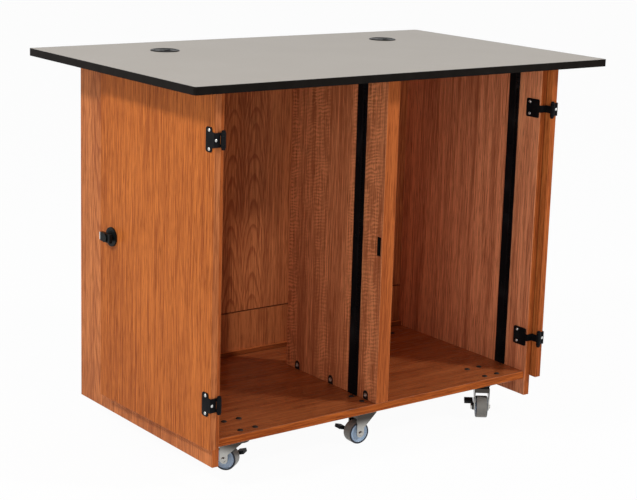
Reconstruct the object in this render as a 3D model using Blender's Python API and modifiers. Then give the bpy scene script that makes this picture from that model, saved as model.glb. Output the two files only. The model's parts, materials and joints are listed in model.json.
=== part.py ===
"""Instructor cart: two rack bays under an overhanging top, on six braked swivel casters.

Metres, +Z up, X along the front, the front towards -Y, the ground at Z = 0 under the middle of the top.
The two doors stand folded right back along the sides of the cabinet.
"""

import math

import bmesh
import bpy
from mathutils import Matrix, Vector

# Cabinet
BAY_WIDTH = 0.489
BAY_HEIGHT = 0.859
CABINET_DEPTH = 0.654
BOARD = 0.019
FLOOR_THICK = 0.021
PARTITION_THICK = 0.040
CABLE_PASSAGE = 0.150
FRONT_SETBACK = 0.004
FLOOR_REAR_SETBACK = 0.014
BACK_RECESS = 0.080
LOWER_RAIL_HEIGHT = 0.122
SEAM = 0.0036
CLEAT_SIDE = 0.012
PANEL_LIFT = 0.052
EDGE_EASE = 0.0008
GAP = 0.0003
FUSED_STEP = 0.0002

# Top
TOP_THICK = 0.019
TOP_SIDE_OVERHANG = 0.124
TOP_FRONT_OVERHANG = 0.096
TOP_REAR_OVERHANG = 0.048
EDGE_BAND = 0.002
TOP_CORNER = 0.005

# Cord grommets
GROMMET_LEFT_SET_IN = 0.176
GROMMET_RIGHT_SET_IN = 0.152
GROMMET_FROM_REAR = 0.180
GROMMET_BORE = 0.029
GROMMET_WALL = 0.0025
GROMMET_FLANGE = 0.007
GROMMET_PROUD = 0.0025
GROMMET_LET_IN = 0.0012
GROMMET_TAIL = 0.004
CAP_LEDGE = 0.002
CAP_THICK = 0.003
CAP_DEPTH = 0.001
CAP_CLEARANCE = 0.0007
CORD_NOTCH = 0.022
THUMB_BAR = 0.005

# Rack rails
RAIL_SET_IN = 0.083
RAIL_SIDE = 0.039
RAIL_FACE = 0.016
RAIL_THICK = 0.002

# Partition connectors
CONNECTOR_WIDTH = 0.020
CONNECTOR_HEIGHT = 0.024
CONNECTOR_DEPTH = 0.0127
CONNECTOR_FRONT = 0.045
CONNECTOR_PITCH = 0.152
CONNECTOR_COUNT = 3

# Doors
DOOR_TOP_GAP = 0.004
DOOR_FLOOR_LAP = 0.015
MEETING_GAP = 0.031
HINGE_SET = 0.0065
PIVOT_FORWARD = 0.026
REST_ANGLE = math.radians(268.5)

# Wrap-round hinges
HINGE_FROM_TOP = 0.116
HINGE_FROM_BOTTOM = 0.113
WING_THICK = 0.002
FRAME_PLATE_START = 0.004
FRAME_PLATE_DEPTH = 0.048
FRAME_PLATE_HEIGHT = 0.050
ARM_HEIGHT = 0.019
LEG_THICK = 0.003
KNUCKLE = 0.006
PIN = 0.0025
PIN_CLEARANCE = 0.0004
PIN_HEAD = 0.0055
PIN_HEAD_HEIGHT = 0.005
KNUCKLE_GAP = 0.0005
EYE_HEIGHT = 0.0075
BAR_START = 0.0076
BAR_WIDTH = 0.0247
BAR_HEIGHT = 0.059
BAR_CORNER = 0.004
WEB_FLARE = 0.0015
ARM_CLEARANCE = 0.0004

# Door locks
LOCK_FROM_BOTTOM = 0.4375
LOCK_INSET = 0.057
LOCK_FLANGE = 0.025
LOCK_FLANGE_THICK = 0.004
LOCK_BODY = 0.0115
LOCK_BODY_DEPTH = 0.025
LOCK_BARREL = 0.0105
LOCK_COLLAR = 0.014
LOCK_COLLAR_PROUD = 0.0018
KEY_PLUG = 0.007
KEY_PLUG_LENGTH = 0.015
KEY_SLOT = 0.0016
KEY_SLOT_LENGTH = 0.0084
BOLT_HEIGHT = 0.0195
BOLT_THICK = 0.005
BOLT_BEHIND_DOOR = 0.0175
BOLT_TAIL = 0.018
BOLT_REACH = 0.030
BOLT_THROW = 0.031
BOLT_FREE_TRAVEL = 0.003
BOLT_SHOWN = 0.007
GUIDE_WALL = 0.0013
STRIKE_BEHIND_DOOR = 0.0215
STRIKE_DROP = 0.0045
STRIKE_WIDTH = 0.015
STRIKE_HEIGHT = 0.050
STRIKE_CLEARANCE = 0.008

# Casters
CASTER_HEIGHT = 0.100
CASTER_SIDE = 0.103
CASTER_FRONT = 0.065
CASTER_REAR = 0.131
PLATE_LENGTH = 0.092
PLATE_WIDTH = 0.066
PLATE_THICK = 0.003
PLATE_CORNER = 0.008
RACE_TOP = 0.027
RACE_BOTTOM = 0.023
RACE_HEIGHT = 0.012
KINGPIN = 0.006
KINGPIN_HEAD = 0.010
KINGPIN_HEAD_HEIGHT = 0.003
CROWN = 0.026
CROWN_THICK = 0.004
BRIDGE_FRONT = 0.016
APRON = 0.012
TRAIL = 0.033
WHEEL_RADIUS = 0.030
TREAD_WIDTH = 0.032
HUB_WIDTH = 0.035
HUB_BOSS = 0.010
RIM_RADIUS = 0.022
DISH = 0.003
TREAD_ROUND = 0.003
LEG_WALL = 0.003
LEG_FOOT = 0.011
LEG_WAIST = 0.014
AXLE = 0.0045
AXLE_NUT = 0.008
AXLE_NUT_HEIGHT = 0.004
RUNNING_GAP = 0.0004
LEVER_THICK = 0.004
LEVER_BOSS = 0.0095
PEDAL_START = 0.020
PEDAL_LENGTH = 0.018
PEDAL_REACH = 0.024
PEDAL_THICK = 0.009
LEVER_STOP = math.radians(15.0)

# Sides of a full circle on small, middling and large round pieces
SMALL_ROUND = 10
MIDDLE_ROUND = 14
LARGE_ROUND = 20

# Places that follow from the sizes above
inner_x = PARTITION_THICK / 2 + BAY_WIDTH
outer_x = inner_x + BOARD
top_width = 2 * (outer_x + TOP_SIDE_OVERHANG)
top_depth = CABINET_DEPTH + TOP_FRONT_OVERHANG + TOP_REAR_OVERHANG
front_y = -top_depth / 2 + TOP_FRONT_OVERHANG
rear_y = front_y + CABINET_DEPTH
floor_top = CASTER_HEIGHT + FLOOR_THICK
ceiling = floor_top + BAY_HEIGHT
back_rear = rear_y - BACK_RECESS
back_front = back_rear - BOARD
carcase_front = front_y + FRONT_SETBACK
partition_rear = back_front - CABLE_PASSAGE
door_bottom = floor_top - DOOR_FLOOR_LAP
door_top = ceiling - DOOR_TOP_GAP
hinge_heights = {"upper": door_top - HINGE_FROM_TOP, "lower": door_bottom + HINGE_FROM_BOTTOM}
lock_height = door_bottom + LOCK_FROM_BOTTOM

# Door faces, bolt and hinge edge, measured from the hinge axis with the door closed. Both wings of a hinge
# lie between the closed door and the panel's front edge.
door_gap = 2 * (WING_THICK + GAP) + ARM_CLEARANCE
door_inside = PIVOT_FORWARD - door_gap
door_outside = door_inside - BOARD
free_edge = outer_x - MEETING_GAP / 2
lock_from_axis = free_edge - LOCK_INSET
bolt_depth = door_inside + BOLT_BEHIND_DOOR

for thing in list(bpy.data.objects):
    bpy.data.objects.remove(thing)

parts = bpy.data.collections.new("instructor_cart")
tools = bpy.data.collections.new("cutters")
bpy.context.scene.collection.children.link(parts)
bpy.context.scene.collection.children.link(tools)


def look(name, colour, roughness, metallic=0.0):
    """One surface finish."""
    finish = bpy.data.materials.new(name)
    finish.use_nodes = True
    shader = finish.node_tree.nodes["Principled BSDF"]
    shader.inputs["Base Color"].default_value = (*colour, 1.0)
    shader.inputs["Roughness"].default_value = roughness
    shader.inputs["Metallic"].default_value = metallic
    return finish


oak = look("stained_oak", (0.40, 0.16, 0.055), 0.4)
laminate = look("warm_grey_laminate", (0.47, 0.42, 0.38), 0.5)
black_edge = look("black_edging", (0.012, 0.011, 0.010), 0.4)
black_steel = look("black_steel", (0.010, 0.010, 0.011), 0.45, 0.3)
black_plastic = look("black_plastic", (0.014, 0.014, 0.015), 0.5)
zinc = look("zinc_plate", (0.55, 0.56, 0.55), 0.35, 1.0)
chrome = look("chrome", (0.75, 0.76, 0.77), 0.15, 1.0)
wheel_grey = look("wheel_grey", (0.20, 0.24, 0.27), 0.5)


def guide(name, place, turn=0.0, parent=None):
    """An empty on a joint's axis, which carries the pieces that turn there."""
    axis = bpy.data.objects.new(name, None)
    axis.location = place
    axis.rotation_euler = (0.0, 0.0, turn)
    axis.parent = parent
    parts.objects.link(axis)
    return axis


def placed(name, mesh, finish, parent, place=(0.0, 0.0, 0.0)):
    """A mesh as a named object in its finish."""
    mesh.materials.append(finish)
    thing = bpy.data.objects.new(name, mesh)
    thing.location = place
    thing.parent = parent
    parts.objects.link(thing)
    return thing


def mesh_from(name, form):
    """A mesh made from an edited form, faces outward and round sides smooth."""
    form.normal_update()
    bmesh.ops.recalc_face_normals(form, faces=form.faces)
    mesh = bpy.data.meshes.new(name)
    form.to_mesh(mesh)
    form.free()
    mesh.shade_smooth()
    mesh.set_sharp_from_angle(angle=math.radians(35))
    return mesh


def ease_edges(thing, width, steps=1):
    """Edges broken by a narrow chamfer or round."""
    ease = thing.modifiers.new("eased_edges", "BEVEL")
    ease.width = width
    ease.segments = steps
    ease.limit_method = "ANGLE"
    ease.angle_limit = math.radians(40)


def block(name, corner, opposite, finish, parent=None, ease=0.0):
    """A board or block between two opposite corners."""
    low = Vector([min(pair) for pair in zip(corner, opposite)])
    high = Vector([max(pair) for pair in zip(corner, opposite)])
    form = bmesh.new()
    bmesh.ops.create_cube(form, size=1.0, matrix=Matrix.Diagonal((*(high - low), 1.0)))
    thing = placed(name, mesh_from(name, form), finish, parent, (low + high) / 2)
    if ease:
        ease_edges(thing, ease)
    return thing


def bar(name, start, end, radius, finish, parent=None, end_radius=None, sides=MIDDLE_ROUND):
    """A round bar, or a taper, from one point to another."""
    start = Vector(start)
    end = Vector(end)
    form = bmesh.new()
    far_radius = radius if end_radius is None else end_radius
    bmesh.ops.create_cone(
        form, cap_ends=True, segments=sides, radius1=radius, radius2=far_radius, depth=(end - start).length
    )
    aim = (end - start).to_track_quat("Z", "Y").to_matrix().to_4x4()
    bmesh.ops.transform(form, matrix=aim, verts=form.verts)
    return placed(name, mesh_from(name, form), finish, parent, (start + end) / 2)


def sheet(name, outline, low, high, finish, parent=None, facing="Z"):
    """A flat outline given its thickness, from low to high along the axis that it faces."""
    curve = bpy.data.curves.new(name, "CURVE")
    curve.dimensions = "2D"
    curve.fill_mode = "BOTH"
    curve.extrude = (high - low) / 2
    spline = curve.splines.new("POLY")
    spline.points.add(len(outline) - 1)
    for point, (across, along) in zip(spline.points, outline):
        point.co = (across, along, 0.0, 1.0)
    spline.use_cyclic_u = True
    sketch = bpy.data.objects.new(name + "_outline", curve)
    parts.objects.link(sketch)
    drawn = sketch.evaluated_get(bpy.context.evaluated_depsgraph_get())
    flat = bpy.data.meshes.new_from_object(drawn)
    form = bmesh.new()
    form.from_mesh(flat)
    bpy.data.objects.remove(sketch)
    bpy.data.meshes.remove(flat)
    bmesh.ops.remove_doubles(form, verts=form.verts, dist=0.00001)
    middle = (low + high) / 2
    for corner in form.verts:
        across, along, through = corner.co
        if facing == "Z":
            corner.co = (across, along, through + middle)
        elif facing == "Y":
            corner.co = (across, through + middle, along)
        else:
            corner.co = (through + middle, across, along)
    return placed(name, mesh_from(name, form), finish, parent)


def turned(name, profile, finish, parent=None, place=(0.0, 0.0, 0.0), sides=LARGE_ROUND, axis="Z"):
    """A ring turned about an axis from a closed profile of radius and height, outer side first."""
    mesh = bpy.data.meshes.new(name)
    if axis == "Z":
        points = [(radius, 0.0, height) for radius, height in profile]
    else:
        points = [(radius, height, 0.0) for radius, height in profile]
    edges = [(i, (i + 1) % len(points)) for i in range(len(points))]
    mesh.from_pydata(points, edges, [])
    thing = placed(name, mesh, finish, parent, place)
    spin = thing.modifiers.new("turning", "SCREW")
    spin.axis = axis
    spin.steps = sides
    spin.render_steps = sides
    spin.use_merge_vertices = True
    spin.merge_threshold = 0.00001
    return thing


def combine(thing, others, operation):
    """Other shapes added to a piece or cut from it."""
    for other in others:
        parts.objects.unlink(other)
        tools.objects.link(other)
        other.hide_render = True
        other.display_type = "WIRE"
        change = thing.modifiers.new(other.name, "BOOLEAN")
        change.operation = operation
        change.solver = "EXACT"
        change.object = other
    return thing


def rounded(corners, radius, steps=3):
    """An outline with each corner turned into an arc."""
    path = []
    for i, corner in enumerate(corners):
        here = Vector(corner)
        before = (Vector(corners[i - 1]) - here).normalized()
        after = (Vector(corners[(i + 1) % len(corners)]) - here).normalized()
        half = before.angle(after) / 2
        centre = here + (before + after).normalized() * radius / math.sin(half)
        start = here + before * radius / math.tan(half) - centre
        end = here + after * radius / math.tan(half) - centre
        first = math.atan2(start.y, start.x)
        turn = (math.atan2(end.y, end.x) - first + math.pi) % (2 * math.pi) - math.pi
        for step in range(steps + 1):
            angle = first + turn * step / steps
            path.append((centre.x + radius * math.cos(angle), centre.y + radius * math.sin(angle)))
    return path


def rectangle(low_u, high_u, low_v, high_v):
    """The corners of a rectangle, in order."""
    return [(low_u, low_v), (high_u, low_v), (high_u, high_v), (low_u, high_v)]


# Carcase boards
for label, side in (("left", -1), ("right", 1)):
    block(
        label + "_side_panel",
        (side * inner_x, front_y, PANEL_LIFT),
        (side * outer_x, rear_y, ceiling - GAP),
        oak,
        ease=EDGE_EASE,
    )

board_end = inner_x - GAP
block(
    "floor_panel",
    (-board_end, carcase_front, CASTER_HEIGHT),
    (board_end, rear_y - FLOOR_REAR_SETBACK, floor_top),
    oak,
    ease=EDGE_EASE,
)
block(
    "rear_lower_rail",
    (-board_end, back_front, floor_top + GAP),
    (board_end, back_rear, floor_top + LOWER_RAIL_HEIGHT),
    oak,
    ease=EDGE_EASE,
)
block(
    "rear_upper_panel",
    (-board_end, back_front, floor_top + LOWER_RAIL_HEIGHT + SEAM),
    (board_end, back_rear, ceiling - GAP),
    oak,
    ease=EDGE_EASE,
)
block(
    "rear_cleat",
    (-board_end, back_front - GAP - CLEAT_SIDE, floor_top + GAP),
    (board_end, back_front - GAP, floor_top + GAP + CLEAT_SIDE),
    oak,
    ease=EDGE_EASE,
)

# Partition, with a strike slot in each face and its connectors let into the left face at the foot
partition_face = PARTITION_THICK / 2
partition = block(
    "centre_partition",
    (-partition_face, carcase_front, floor_top + GAP),
    (partition_face, partition_rear, ceiling - GAP),
    oak,
    ease=EDGE_EASE,
)
thrown_tip = outer_x - lock_from_axis - BOLT_REACH - BOLT_THROW
strike_depth = partition_face - thrown_tip + STRIKE_CLEARANCE
strike_y = front_y - PIVOT_FORWARD + door_inside + STRIKE_BEHIND_DOOR
strike_foot = lock_height - STRIKE_DROP - STRIKE_HEIGHT / 2
strike_front = strike_y - STRIKE_WIDTH / 2
for label, side in (("left", -1), ("right", 1)):
    slot = block(
        label + "_strike_slot",
        (side * (partition_face - strike_depth), strike_front, strike_foot),
        (side * (partition_face + strike_depth), strike_front + STRIKE_WIDTH, strike_foot + STRIKE_HEIGHT),
        oak,
    )
    combine(partition, [slot], "DIFFERENCE")


def tombstone(middle, width, low, high):
    """A square-footed outline with a half-round head."""
    radius = width / 2
    path = [(middle - radius, low), (middle + radius, low)]
    for step in range(9):
        angle = math.pi * step / 8
        path.append((middle + radius * math.cos(angle), high - radius + radius * math.sin(angle)))
    return path


connector_labels = ("front", "middle", "rear")
for count in range(CONNECTOR_COUNT):
    label = "connector_" + connector_labels[count % len(connector_labels)]
    middle = carcase_front + CONNECTOR_FRONT + CONNECTOR_PITCH * count
    foot = floor_top + GAP
    head = foot + CONNECTOR_HEIGHT
    sheet(
        label,
        tombstone(middle, CONNECTOR_WIDTH, foot, head),
        -partition_face - GAP,
        -partition_face + CONNECTOR_DEPTH,
        black_plastic,
        facing="X",
    )
    pocket = sheet(
        label + "_pocket",
        tombstone(middle, CONNECTOR_WIDTH + 2 * GAP, foot - CONNECTOR_DEPTH, head + GAP),
        -partition_face - CONNECTOR_DEPTH,
        -partition_face + CONNECTOR_DEPTH + GAP,
        oak,
        facing="X",
    )
    combine(partition, [pocket], "DIFFERENCE")

# Rack rails: one steel angle up each side of a bay
rail_front = front_y + RAIL_SET_IN
rail_foot = floor_top + GAP
rail_head = ceiling - GAP
walls = {
    "left_bay_outer_rail": (-inner_x, 1),
    "left_bay_inner_rail": (-partition_face, -1),
    "right_bay_inner_rail": (partition_face, 1),
    "right_bay_outer_rail": (inner_x, -1),
}
for label, (wall, inward) in walls.items():
    near = wall + inward * GAP
    heel = near + inward * RAIL_THICK
    toe = near + inward * RAIL_FACE
    sheet(
        label,
        [
            (near, rail_front),
            (toe, rail_front),
            (toe, rail_front + RAIL_THICK),
            (heel, rail_front + RAIL_THICK),
            (heel, rail_front + RAIL_SIDE),
            (near, rail_front + RAIL_SIDE),
        ],
        rail_foot,
        rail_head,
        black_steel,
    )

# Top board inside its edge band
half_width = top_width / 2
half_depth = top_depth / 2
top_height = ceiling + TOP_THICK
board_x = half_width - EDGE_BAND - GAP
board_y = half_depth - EDGE_BAND - GAP
top_board = sheet(
    "top_board",
    rounded(rectangle(-board_x, board_x, -board_y, board_y), TOP_CORNER),
    ceiling,
    top_height,
    laminate,
)
top_edge_band = sheet(
    "top_edge_band",
    rounded(rectangle(-half_width, half_width, -half_depth, half_depth), TOP_CORNER + EDGE_BAND + GAP),
    ceiling,
    top_height,
    black_edge,
)
band_x = half_width - EDGE_BAND
band_y = half_depth - EDGE_BAND
band_inside = sheet(
    "top_edge_band_inside",
    rounded(rectangle(-band_x, band_x, -band_y, band_y), TOP_CORNER + GAP),
    ceiling - TOP_THICK,
    top_height + TOP_THICK,
    black_edge,
)
combine(top_edge_band, [band_inside], "DIFFERENCE")

# Cord grommets: a flanged sleeve through the top, and a cap that turns in it to open or close the cord notch
sleeve_radius = GROMMET_BORE + GROMMET_WALL
flange_radius = sleeve_radius + GROMMET_FLANGE
cap_radius = GROMMET_BORE - CAP_CLEARANCE
flange_under = GAP - GROMMET_LET_IN
for label, grommet_x in (("left", GROMMET_LEFT_SET_IN - outer_x), ("right", outer_x - GROMMET_RIGHT_SET_IN)):
    place = (grommet_x, half_depth - GROMMET_FROM_REAR, top_height)
    drill = bar(
        "grommet_hole_" + label,
        (place[0], place[1], ceiling - TOP_THICK),
        (place[0], place[1], top_height + TOP_THICK),
        sleeve_radius + GAP,
        laminate,
        sides=LARGE_ROUND,
    )
    sinking = bar(
        "grommet_sinking_" + label,
        (place[0], place[1], top_height - GROMMET_LET_IN),
        (place[0], place[1], top_height + TOP_THICK),
        flange_radius + GAP,
        laminate,
        sides=LARGE_ROUND,
    )
    combine(top_board, [drill, sinking], "DIFFERENCE")
    seat = GROMMET_PROUD - CAP_DEPTH - CAP_THICK - GAP
    turned(
        "grommet_sleeve_" + label,
        [
            (flange_radius - GROMMET_PROUD, GROMMET_PROUD),
            (flange_radius, GROMMET_PROUD / 2),
            (flange_radius, flange_under),
            (sleeve_radius, flange_under),
            (sleeve_radius, -TOP_THICK - GROMMET_TAIL),
            (GROMMET_BORE, -TOP_THICK - GROMMET_TAIL),
            (GROMMET_BORE, seat - CAP_LEDGE),
            (GROMMET_BORE - CAP_LEDGE, seat),
            (GROMMET_BORE, seat),
            (GROMMET_BORE, GROMMET_PROUD),
        ],
        black_plastic,
        place=place,
    )
    spindle = guide("grommet_cap_axis_" + label, place)
    cap_top = GROMMET_PROUD - CAP_DEPTH
    cap = bar(
        "grommet_cap_" + label,
        (0.0, 0.0, cap_top - CAP_THICK),
        (0.0, 0.0, cap_top),
        cap_radius,
        black_plastic,
        spindle,
        sides=LARGE_ROUND,
    )
    grip = block(
        "grommet_grip_" + label,
        (-cap_radius / 2, -THUMB_BAR / 2, cap_top - CAP_THICK / 2),
        (cap_radius / 2, THUMB_BAR / 2, GROMMET_PROUD),
        black_plastic,
        spindle,
    )
    notch = sheet(
        "grommet_notch_" + label,
        tombstone(0.0, CORD_NOTCH, -2 * cap_radius, -THUMB_BAR / 2 - CAP_THICK),
        cap_top - 3 * CAP_THICK,
        cap_top + 3 * CAP_THICK,
        black_plastic,
        spindle,
    )
    combine(cap, [grip], "UNION")
    combine(cap, [notch], "DIFFERENCE")


def add_hinge(label, side, height, frame_axis, door_axis):
    """A wrap-round hinge. Its frame wing holds the panel's front edge and carries the pin.

    Its door wing lies on the door's inner face and wraps round the hinge edge to an eye above and below the
    frame wing's knuckle, so that the door swings from closed to flat along the side of the cabinet.
    """
    wall = -BOARD - GAP
    hook = PIVOT_FORWARD - GAP
    plate_front = PIVOT_FORWARD + FRAME_PLATE_START
    plate_rear = plate_front + FRAME_PLATE_DEPTH
    half_plate = FRAME_PLATE_HEIGHT / 2
    half_arm = ARM_HEIGHT / 2
    eye_low = half_arm + KNUCKLE_GAP
    eye_high = eye_low + EYE_HEIGHT
    head_low = eye_high + KNUCKLE_GAP

    frame = sheet(
        "hinge_frame_" + label,
        rounded(rectangle(plate_front, plate_rear, height - half_plate, height + half_plate), half_arm / 2),
        side * wall - WING_THICK * (side > 0),
        side * wall + WING_THICK * (side < 0),
        black_steel,
        frame_axis,
        facing="X",
    )
    arm_near = wall - FUSED_STEP
    arm_far = wall - WING_THICK + FUSED_STEP
    leg_near = -FUSED_STEP
    leg_far = -FUSED_STEP - LEG_THICK
    arm_plan = [
        (arm_far, plate_front + half_arm),
        (arm_far, hook - WING_THICK),
        (leg_far, hook - WING_THICK),
        (leg_far, 0.0),
        (leg_near, 0.0),
        (leg_near, hook),
        (arm_near, hook),
        (arm_near, plate_front + half_arm),
    ]
    arm = sheet(
        "hinge_arm_" + label,
        [(side * across, along) for across, along in arm_plan],
        height - half_arm,
        height + half_arm,
        black_steel,
        frame_axis,
    )
    knuckle = bar(
        "hinge_knuckle_" + label,
        (0.0, 0.0, height - half_arm - FUSED_STEP),
        (0.0, 0.0, height + half_arm + FUSED_STEP),
        KNUCKLE,
        black_steel,
        frame_axis,
        sides=MIDDLE_ROUND,
    )
    pin = bar(
        "hinge_pin_" + label,
        (0.0, 0.0, height - head_low - KNUCKLE_GAP),
        (0.0, 0.0, height + head_low + KNUCKLE_GAP),
        PIN,
        black_steel,
        frame_axis,
        sides=SMALL_ROUND,
    )
    heads = []
    for up in (-1, 1):
        heads.append(
            bar(
                "hinge_pin_head_" + label + ("_top" if up > 0 else "_foot"),
                (0.0, 0.0, height + up * head_low),
                (0.0, 0.0, height + up * (head_low + PIN_HEAD_HEIGHT)),
                PIN_HEAD,
                black_steel,
                frame_axis,
                end_radius=PIN_HEAD - PIN / 2,
                sides=MIDDLE_ROUND,
            )
        )
    combine(frame, [arm, knuckle, pin, *heads], "UNION")

    edge_inside = HINGE_SET - GAP
    edge_outside = edge_inside - WING_THICK
    bar_start = HINGE_SET + BAR_START
    bar_end = bar_start + BAR_WIDTH
    half_bar = BAR_HEIGHT / 2
    upper_half = [
        (-edge_outside - FUSED_STEP, eye_high),
        (-bar_start, eye_high + WEB_FLARE),
        (-bar_start, half_bar - BAR_CORNER),
        (-bar_start - BAR_CORNER, half_bar),
        (-bar_end + BAR_CORNER, half_bar),
        (-bar_end, half_bar - BAR_CORNER),
    ]
    lower_half = [(across, -along) for across, along in reversed(upper_half)]
    wing = sheet(
        "hinge_wing_" + label,
        [(side * across, height + along) for across, along in upper_half + lower_half],
        door_inside + GAP,
        door_inside + GAP + WING_THICK,
        black_steel,
        door_axis,
        facing="Y",
    )
    wrap_start = -WING_THICK / 2
    wrap_end = door_inside + GAP + WING_THICK - FUSED_STEP
    knuckle_room = KNUCKLE + KNUCKLE_GAP
    wrap_low = eye_low + FUSED_STEP
    wrap_high = eye_high - FUSED_STEP
    upper_half = [
        (knuckle_room, wrap_low),
        (wrap_start, wrap_low),
        (wrap_start, wrap_high),
        (wrap_end, wrap_high),
    ]
    lower_half = [(along, -up) for along, up in reversed(upper_half)]
    faces = sorted((-side * edge_inside, -side * edge_outside))
    wraps = [
        sheet(
            "hinge_wrap_" + label,
            [(along, height + up) for along, up in upper_half + lower_half],
            faces[0],
            faces[1],
            black_steel,
            door_axis,
            facing="X",
        )
    ]
    bores = []
    for up in (-1, 1):
        near = height + up * eye_low
        far = height + up * eye_high
        suffix = label + ("_top" if up > 0 else "_foot")
        wraps.append(
            bar("hinge_eye_" + suffix, (0.0, 0.0, near), (0.0, 0.0, far), KNUCKLE, black_steel, door_axis)
        )
        bores.append(
            bar(
                "hinge_bore_" + suffix,
                (0.0, 0.0, near - up * EYE_HEIGHT / 2),
                (0.0, 0.0, far + up * EYE_HEIGHT / 2),
                PIN + PIN_CLEARANCE,
                black_steel,
                door_axis,
                sides=SMALL_ROUND,
            )
        )
    combine(wing, wraps, "UNION")
    combine(wing, bores, "DIFFERENCE")


def add_lock(label, side, door, door_axis):
    """A key lock: bolt guide and body inside the door, barrel and collar through it, key plug outside."""
    lock_x = -side * lock_from_axis
    case_front = door_inside + GAP
    collar_face = door_outside - LOCK_COLLAR_PROUD
    hole = bar(
        "lock_hole_" + label,
        (lock_x, door_outside - BOARD, lock_height),
        (lock_x, door_inside + BOARD, lock_height),
        LOCK_BARREL + GAP,
        oak,
        door_axis,
    )
    combine(door, [hole], "DIFFERENCE")

    case = bar(
        "lock_case_" + label,
        (lock_x, case_front, lock_height),
        (lock_x, case_front + LOCK_FLANGE_THICK, lock_height),
        LOCK_FLANGE,
        black_plastic,
        door_axis,
        sides=LARGE_ROUND,
    )
    body = bar(
        "lock_body_" + label,
        (lock_x, case_front + LOCK_FLANGE_THICK / 2, lock_height),
        (lock_x, case_front + LOCK_BODY_DEPTH, lock_height),
        LOCK_BODY,
        black_plastic,
        door_axis,
    )
    barrel = bar(
        "lock_barrel_" + label,
        (lock_x, collar_face + FUSED_STEP, lock_height),
        (lock_x, case_front + LOCK_COLLAR_PROUD, lock_height),
        LOCK_BARREL,
        black_plastic,
        door_axis,
    )
    collar = bar(
        "lock_collar_" + label,
        (lock_x, collar_face, lock_height),
        (lock_x, door_outside - GAP, lock_height),
        LOCK_COLLAR,
        black_plastic,
        door_axis,
    )
    plug_end = collar_face + KEY_PLUG_LENGTH
    plug_bore = bar(
        "key_plug_bore_" + label,
        (lock_x, collar_face - KEY_PLUG_LENGTH, lock_height),
        (lock_x, plug_end + GAP, lock_height),
        KEY_PLUG + GAP,
        black_plastic,
        door_axis,
    )
    bolt_start = lock_x + side * BOLT_TAIL
    bolt_tip = lock_x - side * BOLT_REACH
    room_start = bolt_start + side * BOLT_FREE_TRAVEL
    room_thick = BOLT_THICK / 2 + GAP
    room_height = BOLT_HEIGHT / 2 + GAP
    guide_thick = room_thick + GUIDE_WALL
    guide_height = room_height + GUIDE_WALL
    bolt_guide = block(
        "lock_guide_" + label,
        (room_start + side * GUIDE_WALL, bolt_depth - guide_thick, lock_height - guide_height),
        (bolt_tip + side * BOLT_SHOWN, bolt_depth + guide_thick, lock_height + guide_height),
        black_plastic,
        door_axis,
    )
    channel = block(
        "lock_bolt_channel_" + label,
        (room_start, bolt_depth - room_thick, lock_height - room_height),
        (bolt_tip, bolt_depth + room_thick, lock_height + room_height),
        black_plastic,
        door_axis,
    )
    combine(case, [body, barrel, collar, bolt_guide], "UNION")
    combine(case, [plug_bore, channel], "DIFFERENCE")

    block(
        "lock_bolt_" + label,
        (bolt_start, bolt_depth - BOLT_THICK / 2, lock_height - BOLT_HEIGHT / 2),
        (bolt_tip, bolt_depth + BOLT_THICK / 2, lock_height + BOLT_HEIGHT / 2),
        chrome,
        door_axis,
        ease=EDGE_EASE,
    )

    key_axis = guide("key_plug_axis_" + label, (lock_x, collar_face, lock_height), parent=door_axis)
    plug = bar(
        "key_plug_" + label,
        (0.0, 0.0, 0.0),
        (0.0, KEY_PLUG_LENGTH, 0.0),
        KEY_PLUG,
        chrome,
        key_axis,
        sides=MIDDLE_ROUND,
    )
    slot = block(
        "key_slot_" + label,
        (-KEY_SLOT / 2, -KEY_PLUG, -KEY_SLOT_LENGTH / 2),
        (KEY_SLOT / 2, KEY_PLUG, KEY_SLOT_LENGTH / 2),
        chrome,
        key_axis,
    )
    combine(plug, [slot], "DIFFERENCE")


# Doors, their hinges and locks, drawn closed about the hinge axis and turned back from there
for label, side in (("left", -1), ("right", 1)):
    pivot = (side * outer_x, front_y - PIVOT_FORWARD, 0.0)
    frame_axis = guide(label + "_hinge_frame_axis", pivot)
    door_axis = guide(label + "_door_axis", pivot, side * REST_ANGLE)
    door = block(
        label + "_door",
        (-side * HINGE_SET, door_outside, door_bottom),
        (-side * free_edge, door_inside, door_top),
        oak,
        door_axis,
        ease=EDGE_EASE,
    )
    for level, height in hinge_heights.items():
        add_hinge(label + "_" + level, side, height, frame_axis, door_axis)
    add_lock(label, side, door, door_axis)

# Casters: heights below are measured down from the floor's underside
plate_top = -GAP
race_top = plate_top - PLATE_THICK
race_bottom = race_top - RACE_HEIGHT
crown_top = race_bottom - RUNNING_GAP
crown_bottom = crown_top - CROWN_THICK
axle_height = WHEEL_RADIUS - CASTER_HEIGHT
leg_inside = HUB_WIDTH / 2 + RUNNING_GAP
leg_outside = leg_inside + LEG_WALL
lever_inside = leg_outside + RUNNING_GAP
lever_outside = lever_inside + LEVER_THICK
nut_inside = lever_outside + RUNNING_GAP
axle_end = nut_inside + AXLE_NUT_HEIGHT


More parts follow.
